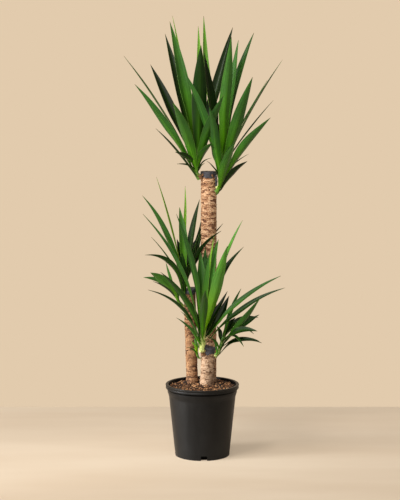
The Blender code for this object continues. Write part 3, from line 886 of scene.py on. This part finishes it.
# ---- canes and stems
def rod(name, around, rows):
    """A closed cylinder of radius 1 from z 0 to z 1, with rows of faces up its side."""
    deselect()
    bpy.ops.mesh.primitive_cylinder_add(
        vertices=around, radius=1, depth=1, end_fill_type="TRIFAN", location=(0, 0, 0.5)
    )
    obj = settle(added(name))

    def upright(edge):
        first, last = (obj.data.vertices[i].co.z for i in edge.vertices)
        return abs(first - last) > 0.5

    choose(obj, upright, "edges")
    bpy.ops.mesh.subdivide_edgering(number_cuts=rows - 1, interpolation="LINEAR")
    leave()
    return obj


def bark_height(angle, height, radius, seed):
    """The bark at a place: its height, 0 in a crack and 1 on a flake, and the flake's own tone."""
    x, y = cos(angle) * radius, sin(angle) * radius
    slow = lumps(x, y, height, 0.022, 0.034, seed)
    quick = lumps(x, y, height, 0.0085, 0.011, seed)
    skew = lumps(x, y, height, 0.012, 0.008, -seed)
    tiny = lumps(x, y, height, 0.0034, 0.003, seed)
    row = height / SCAR_SPACING + 0.75 * slow + 0.42 * quick
    level = floor(row)
    step = row - level
    columns = max(3, round(TURN * radius / FLAKE_WIDTH))
    across = angle / TURN * columns + 7.31 * level + 0.9 * skew
    side = across - floor(across)
    column = floor(across) % columns
    own = noise.cell(Vector((column * 1.7 + 0.5, level * 1.3 + 0.5, seed + 0.5)))
    edge = min(1, min(side, 1 - side) / 0.1)
    rise = step / 0.16 if step < 0.16 else ((1 - step) / 0.84) ** 0.45
    flake = rise * (0.45 + 0.55 * edge)
    found = 0.1 + 0.72 * flake + 0.2 * (own - 0.5) + 0.22 * quick + 0.26 * tiny
    return min(1, max(0, found)), own


def bare_side(angle):
    """How far the wax leaves the bark bare: it does so at the left and right, by the shoots."""
    return abs(cos(angle)) ** 9


def make_cane(node, wax_node, material, seed):
    """A cane's bark: rows of wavy, broken leaf scars from the soil up to the wax."""
    low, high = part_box(node)
    wax_low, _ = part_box(wax_node)
    core = Stem(node, 40)
    radius = float(np.median(core.radii))
    top, bottom = high.z - 0.6 * MM, low.z
    bare = SOIL_HIGH.z - BURIED_DEPTH
    rows = int((top - bare) / BARK_ROW) + BURIED_ROWS
    cane = rod(node + "_bark", int(TURN * radius / BARK_ROW), rows)
    points = points_of(cane)
    relief, tones = np.zeros(len(points)), np.zeros(len(points))
    for index, (x, y, share) in enumerate(points):
        row = share * rows
        if row < BURIED_ROWS:
            height = bottom + (bare - bottom) * row / BURIED_ROWS
        else:
            height = bare + (top - bare) * (row - BURIED_ROWS) / (rows - BURIED_ROWS)
        middle = core.at(height)[0]
        reach, angle = hypot(x, y), atan2(y, x)
        way_x, way_y = cos(angle), sin(angle)
        swell = lumps(way_x * radius, way_y * radius, height, 0.03, 0.05, seed)
        hidden = np.clip((height - wax_low.z - 5 * MM) / (4 * MM), 0, 1)
        hidden *= 1 - bare_side(angle)
        relief[index], tones[index] = bark_height(angle, height, radius, seed)
        outer = radius + (1 - hidden) * (SCAR_DEPTH * (relief[index] - 0.6) + swell * MM)
        outer -= hidden * 1.2 * MM
        around_x, around_y = way_x * outer * reach, way_y * outer * reach
        points[index] = (middle[0] + around_x, middle[1] + around_y, height)
    place_points(cane, points)
    give_value(cane, "relief", relief)
    give_value(cane, "tone", tones)
    return finished(smooth(cane, 70), material, [node])


def make_wax(node, cane_node, material, seed):
    """The wax over a cane's cut top, with a lumpy skin and a ragged lower edge."""
    low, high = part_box(node)
    core = Stem(cane_node, 40)
    radius = float(np.median(core.radii)) + WAX_OVER_BARK
    depth, inner = high.z - low.z, radius - WAX_THICKNESS
    profile = [(radius * step / 12, high.z) for step in range(12)]
    profile += [(radius - 0.7 * MM, high.z - 0.4 * MM), (radius, high.z - 1.6 * MM)]
    for step in range(1, WAX_ROWS):
        profile += [(radius, high.z - 1.6 * MM - (depth - 3 * MM) * step / WAX_ROWS)]
    profile += [(radius - 0.8 * MM, low.z), (inner, low.z + MM)]
    profile += [(inner, high.z - 4 * MM), (0, high.z - 4 * MM)]
    wax = turned(node + "_skin", profile, WAX_SIDES)
    points = points_of(wax)
    for index, (x, y, z) in enumerate(points):
        angle, reach = atan2(y, x), hypot(x, y)
        way_x, way_y = cos(angle), sin(angle)
        middle = core.at(z)[0]
        run = lumps(way_x * 2.3, way_y * 2.3, seed)
        drip = lumps(way_x * 6, way_y * 6, seed)
        lump = lumps(x, y, z, 0.009, seed=seed)
        grain = lumps(x, y, z, 0.0035, seed=seed)
        on_side = min(1, max(0, (high.z - 2 * MM - z) / (depth - 2 * MM)))
        inside = reach < radius - 2 * MM and z < high.z - 2 * MM
        rise = on_side * depth * (0.08 + 0.2 * run + 0.18 * drip + 0.55 * bare_side(angle))
        outward = 0 if inside else (0.9 * lump + 0.5 * grain) * MM
        dip = 0 if inside or on_side > 0 else (0.6 + 0.8 * lump + 0.4 * grain) * MM
        outer = reach + outward
        height = z + 0.5 * rise if inside else min(z + rise - dip, high.z)
        points[index] = (middle[0] + way_x * outer, middle[1] + way_y * outer, height)
    place_points(wax, points)
    return finished(smooth(wax, 60), material, [node])


def make_stem(shoot, material, seed):
    """A shoot's stem: a round tube with the ridges of old leaf feet, curving into its cane."""
    node, stem = "shoot_" + shoot, STEMS[shoot]
    root = np.array(SHOOT_ROOTS[shoot]) * CM
    lowest = max(stem.heights[1], root[2] + 5 * MM)
    heights = np.linspace(lowest, stem.heights[-1], 14)
    course = np.vstack([root, [stem.at(h)[0] for h in heights]])
    radii = [stem.at(h)[1] for h in heights[3:]]
    radii = radii[:1] * 4 + radii
    knots = distances(course)
    tube = rod(node + "_skin", STEM_SIDES, STEM_ROWS)
    round_points = points_of(tube)
    rise = round_points[:, 2]
    places = rise * knots[-1]
    middle, along = followed(knots, course, places)
    across = units(np.cross(along, np.array([0, 1, 0])))
    other = np.cross(along, across)
    size = np.interp(places, knots, radii)
    size = size * (1 + SWELLINGS.get(shoot, -0.25) * np.exp(-((rise / 0.16) ** 2)))
    size *= np.clip((1 - rise) / 0.04, 0.35, 1) ** 0.5
    for index, (x, y, z) in enumerate(round_points):
        ring = z * knots[-1] / LEAF_FOOT_SPACING + 0.5 * sin(atan2(y, x) + seed)
        ridge = (ring - floor(ring)) ** 2
        lump = lumps(x * 1.5, y * 1.5, z * 8 + seed)
        size[index] *= 1 + 0.05 * ridge + 0.07 * lump
    around = across * round_points[:, :1] + other * round_points[:, 1:2]
    place_points(tube, middle + around * size[:, None])
    give_value(tube, "rise", rise * GREENING.get(shoot, 2.4))
    edit(tube)
    bpy.ops.mesh.normals_make_consistent(inside=False)
    leave()
    return finished(smooth(tube, 60), material, [node])


def make_knobs(name, places, material, seed):
    """Rough lumps joined into one piece, each given by its place and three radii."""
    parts = []
    for number, (place, size) in enumerate(places):
        deselect()
        bpy.ops.mesh.primitive_uv_sphere_add(
            segments=20, ring_count=14, radius=CM, location=Vector(place) * CM
        )
        lump = settle(added(f"{name}_{number}", size))
        points = points_of(lump)
        centre = points.mean(0)
        relief = np.zeros(len(points))
        for index, point in enumerate(points):
            rough = noise.noise(Vector(point * 160) + Vector((seed, 0, 0)))
            fine = noise.noise(Vector(point * 420) + Vector((seed, 0, 0)))
            points[index] = centre + (point - centre) * (1 + 0.35 * rough + 0.16 * fine)
            # the relief also sets the bark's colour, so hollows get painted shade and tops a
            # painted highlight
            relief[index] = np.clip(0.3 + 0.6 * rough + 0.5 * fine, 0, 1)
        place_points(lump, points)
        give_value(lump, "relief", relief)
        give_value(lump, "tone", 0.3)
        parts.append(lump)
    knobs = joined(parts, name)
    return finished(smooth(knobs, 60), material)


# ---- pot
def arc(middle, radius, start, end, count):
    found = []
    for step in range(count):
        angle = radians(start + (end - start) * step / (count - 1))
        found.append((middle[0] + radius * cos(angle), middle[1] + radius * sin(angle)))
    return found


def wall_radius(height):
    """Outside of the pot's tapered wall."""
    share = height / NECK_HEIGHT
    return BASE_RADIUS + (NECK_RADIUS - BASE_RADIUS) * share


def about(radius, height, *offsets):
    """Points of a profile, each given in mm from a radius and a height."""
    return [(radius + out * MM, height + up * MM) for out, up in offsets]


def pot_profile():
    """The pot's section: up the inside of its wall, over the lip, down the outside and under."""
    rim, top = RIM_RADIUS, POT_HIGH.z
    under_lip, under_collar = top - LIP_HEIGHT, top - LIP_HEIGHT - COLLAR_HEIGHT
    lip_inside = rim - LIP_WIDTH
    raised = FLOOR_STEP + WALL
    inside = [(0, WALL), (FLOOR_DISC - WALL, WALL), (FLOOR_DISC + FLOOR_SLOPE - WALL, raised)]
    inside += [(wall_radius(raised) - WALL, raised)]
    inside += [(wall_radius(h) - WALL, h) for h in np.linspace(0.06, NECK_HEIGHT, 5)]
    inside += [(lip_inside, under_lip)]
    lip = arc((lip_inside + 2.2 * MM, top - 2.2 * MM), 2.2 * MM, 180, 90, 6)
    lip += arc((rim - 3.2 * MM, top - 3.2 * MM), 3.2 * MM, 90, -35, 12)
    lip += arc((rim - 0.9 * MM, top - 8.6 * MM), 1.6 * MM, 150, 215, 5)
    lip += arc((rim - 2.6 * MM, top - 11.4 * MM), 1.8 * MM, 40, 0, 4)
    lip += arc((rim - 2.4 * MM, under_lip + 1.6 * MM), 1.6 * MM, 0, -90, 5)
    collar = about(COLLAR_RADIUS, under_lip, (0.5, 0), (0, -0.6))
    collar += about(COLLAR_RADIUS, under_collar, (-0.8, 1), (-1.4, 0))
    collar += about(NECK_RADIUS, under_collar, (2.8, -4.6))
    collar += about(NECK_RADIUS, NECK_HEIGHT, (0.9, 3), (0.15, 0.8), (0, 0), (-0.5, -4))
    wall = [(wall_radius(h), h) for h in np.linspace(NECK_HEIGHT - 8 * MM, FOOT_HEIGHT + MM, 12)]
    foot_radius = BASE_RADIUS + 0.8 * MM
    foot = about(foot_radius, FOOT_HEIGHT, (0.25, -0.2), (0, -1))
    foot += arc((foot_radius - FOOT_ROUNDING, FOOT_ROUNDING), FOOT_ROUNDING, 0, -90, 7)
    under = [
        (BASE_RADIUS - WALL, 0),
        (wall_radius(FLOOR_STEP) - WALL, FLOOR_STEP),
        (FLOOR_DISC + FLOOR_SLOPE, FLOOR_STEP),
        (FLOOR_DISC, 0),
        (0, 0),
    ]
    return inside + lip + collar + wall + foot + under


def make_pot(material):
    """A blow-moulded nursery pot with a rolled lip, a collar and notches round its foot."""
    pot = turned("nursery_pot", pot_profile(), POT_SIDES)
    deselect()
    bpy.ops.mesh.primitive_cube_add(
        size=1,
        location=(BASE_RADIUS, 0, NOTCH_HEIGHT / 2 - 5 * MM),
        scale=(NOTCH_DEPTH, NOTCH_WIDTH, NOTCH_HEIGHT + 10 * MM),
    )
    block = settle(added("notch"))
    choose(block, lambda v: v.co.z > 0)
    bpy.ops.mesh.bevel(offset=2.5 * MM, segments=4, affect="EDGES")
    leave()
    blocks = []
    for step in range(NOTCH_COUNT):
        turn = Matrix.Rotation(NOTCH_START + TURN * step / NOTCH_COUNT, 3, "Z")
        blocks.append(copy_of(block, f"notch_{step}"))
        place_points(blocks[-1], points_of(block) @ np.array(turn).T)
    discard(block)
    cutter = joined(blocks, "notches")
    cut = pot.modifiers.new("Notches", "BOOLEAN")
    cut.operation = "DIFFERENCE"
    cut.solver = "EXACT"
    cut.object = cutter
    apply_all(pot)
    discard(cutter)
    return finished(smooth(pot, 32), material, ["pot"])


# ---- soil
def ground(x, y, canes):
    """Height of the soil's top at a place: gently lumpy, and heaped round the canes."""
    mounds = lumps(x, y, 0, 0.03, seed=3.1)
    crumbs = lumps(x, y, 0, 0.009, seed=7.7)
    grit = lumps(x, y, 0, 0.004, seed=1.3)
    middle = 1 - min(1, hypot(x, y) / SOIL_HIGH.x) ** 3
    heap = sum(
        exp(-max(0, hypot(x - cx, y - cy) - radius) / (11 * MM))
        for cx, cy, radius in canes
    )
    height = SOIL_HIGH.z - 8 * MM + 4 * MM * middle + 4.5 * MM * min(1, heap)
    return height + 2.6 * MM * mounds + 2.2 * MM * crumbs + MM * grit


def make_soil(material, canes):
    """The potting mix: it fills the pot, and its top is a fine grid of crumbs."""
    edge, top = SOIL_HIGH.x, SOIL_HIGH.z
    inset = WALL + SOIL_GAP
    raised = FLOOR_STEP + inset
    profile = [(edge * step / SOIL_RINGS, top) for step in range(SOIL_RINGS + 1)]
    profile += [(edge, top - 6 * MM), (edge, POT_HIGH.z - LIP_HEIGHT)]
    profile += [(wall_radius(h) - inset, h) for h in np.linspace(NECK_HEIGHT, 0.05, 5)]
    profile += [(wall_radius(raised) - inset, raised), (FLOOR_DISC + 2 * MM, raised)]
    profile += [(FLOOR_DISC - inset, inset), (0, inset)]
    soil = turned("potting_mix", profile, SOIL_SIDES)
    points = points_of(soil)
    for point in points:
        if point[2] > top - MM:
            point[2] = ground(point[0], point[1], canes)
    place_points(soil, points)
    return finished(smooth(soil), material, ["potting_soil"])


def chip_masters():
    """Three rough chips of bark, one long, one wide and one stout."""
    masters = []
    for number, size in enumerate(CHIP_SHAPES):
        deselect()
        bpy.ops.mesh.primitive_cube_add(size=1, location=(0, 0, 0), scale=size)
        chip = settle(added(f"chip_master_{number}"))
        edit(chip)
        bpy.ops.mesh.subdivide(number_cuts=1, smoothness=0.35)
        leave()
        masters.append(chip)
    return masters


def make_chips(material, canes):
    """Bark chips and coarse crumbs lying on the soil."""
    chance = random.Random(11)
    masters = chip_masters()
    rim = SOIL_HIGH.x - 3 * MM
    chips = []
    for number in range(CHIP_COUNT):
        size = chance.triangular(4, 14, 6) * MM
        for _ in range(60):
            reach, turn = (rim - 0.4 * size) * sqrt(chance.random()), chance.uniform(0, TURN)
            x, y = reach * cos(turn), reach * sin(turn)
            if all(hypot(x - cx, y - cy) > r + 0.35 * size for cx, cy, r in canes):
                break
        master = chance.choice(masters)
        tilt = Euler((chance.gauss(0, 0.4), chance.gauss(0, 0.4), chance.uniform(0, TURN)))
        shape = points_of(master)
        for point in shape:
            point *= [1 + chance.uniform(-0.2, 0.2) for _ in range(3)]
        shape = size * shape @ np.array(tilt.to_matrix()).T
        lift = size * chance.uniform(0.04, 0.22)
        chip = copy_of(master, f"chip_{number}")
        place_points(chip, shape + np.array([x, y, ground(x, y, canes) + lift]))
        give_value(chip, "tone", chance.random())
        chips.append(chip)
    for master in masters:
        discard(master)
    pile = joined(chips, "bark_mulch")
    return finished(smooth(pile, 40), material)


# ---- studio
def pale_floor():
    """Matt floor, with painted shade where the lamps are near, to even out their light; the camera
    sees part of it evenly lit.
    """
    paint = Paint("pale_floor")
    drift = paint.noise(paint.coordinates(scale=(0.5, 2.2, 1)), 1.6, 3, 0.5)
    colour = paint.ramp(drift, (0.35, (228, 205, 177)), (0.65, (244, 225, 200)))
    x, y, _ = paint.split(paint.coordinates())
    # painted shade: the floor's colour grows darker towards the front and left, where the lamps
    # are near
    slant = paint.scaled(y, 0.12, paint.scaled(x, 0.07, 0.64))
    lamp_side_shade = paint.ramp(slant, (0.1, 0.4), (0.3, 0.5), (0.5, 0.74), (0.62, 0.86), (0.8, 1))
    paint.set(Base_Color=paint.blend(1, colour, lamp_side_shade, "MULTIPLY"), Roughness=0.85)
    seen = paint.node("LightPath").outputs["Is Camera Ray"]
    even = paint.node("Emission", Color=srgb((229, 207, 179))).outputs[0]
    share = paint.math("MULTIPLY", seen, 0.42)
    return paint.show("Material Output", share, paint.shader.outputs[0], even)


def make_stage():
    """A pale floor, even light, and a plain warm background for camera and reflections."""
    deselect()
    bpy.ops.mesh.primitive_plane_add(size=1, location=FLOOR_MIDDLE)
    plane = settle(added("floor", FLOOR_SIZE))
    plane.data.materials.append(pale_floor())

    sky = Paint("studio", "worlds")
    bpy.context.scene.world = sky.owner
    rays = sky.node("LightPath").outputs
    seen = sky.math("MAXIMUM", rays["Is Camera Ray"], rays["Is Transmission Ray"])
    seen = sky.math("MAXIMUM", seen, rays["Is Glossy Ray"])
    light = sky.tree.nodes["Background"]
    sky.feed(light, "Color", (1, 0.955, 0.9, 1))
    sky.feed(light, "Strength", 0.18)
    backdrop = sky.node("Background", Color=srgb((226, 203, 173)), Strength=1)
    sky.show("World Output", seen, light.outputs[0], backdrop.outputs[0])


def make_lamps():
    for name, (place, aim, size, power, colour, beam) in LAMPS.items():
        deselect()
        way = (Vector(aim) - Vector(place)).to_track_quat("-Z", "Y").to_euler()
        bpy.ops.object.light_add(type="AREA", location=place, rotation=way)
        lamp = bpy.context.object
        lamp.name = name
        lamp.data.shape = "RECTANGLE"
        lamp.data.size, lamp.data.size_y = size
        lamp.data.energy = power
        lamp.data.color = colour
        lamp.data.spread = radians(beam)
        lamp.visible_camera = False


def make_camera():
    deselect()
    bpy.ops.object.camera_add(location=CAMERA_PLACE, rotation=(CAMERA_TILT, 0, 0))
    camera = bpy.context.object
    camera.data.sensor_width = SENSOR
    camera.data.lens = LENS
    bpy.context.scene.camera = camera
    bpy.context.scene.view_settings.view_transform = "Standard"


# ---- making everything
make_stage()
make_lamps()
make_camera()

canes = []
for cane in BARKS:
    (x, y, _), radius = Stem("cane_" + cane, 12).at(SOIL_HIGH.z)
    canes.append((x, y, radius))

make_pot(pot_plastic())
make_soil(soil_earth(), canes)
make_chips(bark_chips(), canes)

barks = {cane: bark(*colours) for cane, colours in BARKS.items()}
wax = sealing_wax()
for number, cane in enumerate(BARKS, 1):
    make_cane("cane_" + cane, "wax_cap_" + cane, barks[cane], 10 * number)
    make_wax("wax_cap_" + cane, "cane_" + cane, wax, 10 * number)
make_knobs("bark_knobs", BARK_KNOBS, barks["medium"], 3)
make_knobs("dark_lumps", DARK_LUMPS, wax, 5)

green = green_stem()
for number, shoot in enumerate(SHOOTS):
    make_stem(shoot, green, number)
make_leaves(leaf_skin())
